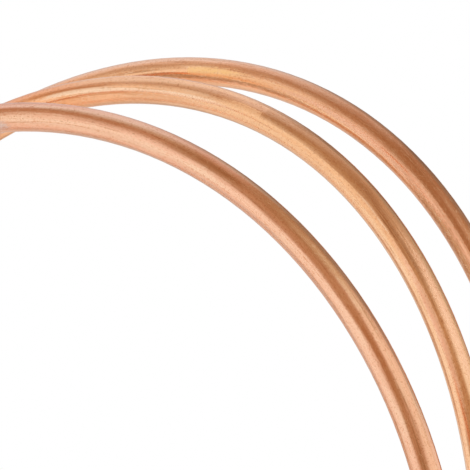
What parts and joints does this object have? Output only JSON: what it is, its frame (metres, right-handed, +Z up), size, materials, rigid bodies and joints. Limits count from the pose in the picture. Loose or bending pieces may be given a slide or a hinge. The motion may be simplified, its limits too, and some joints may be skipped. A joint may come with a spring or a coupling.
{
  "type": "copper tube coil",
  "caption": "Soft copper tube wound into an open coil of a little over three turns, standing on its rim, with plain square-cut ends.",
  "frame": {"origin": "centre of the coil's foot, on the floor it stands on", "axes": "+Z up, Y along the coil's axis with the front lap towards -Y, X across the coil"},
  "size_m": [0.5156, 0.2178, 0.5157],
  "materials": {
    "copper": "satin drawn copper with faint lengthwise draw lines and light tarnish"
  },
  "bodies": {
    "root": {"copper_tube": "copper"}
  },
  "joints": []
}
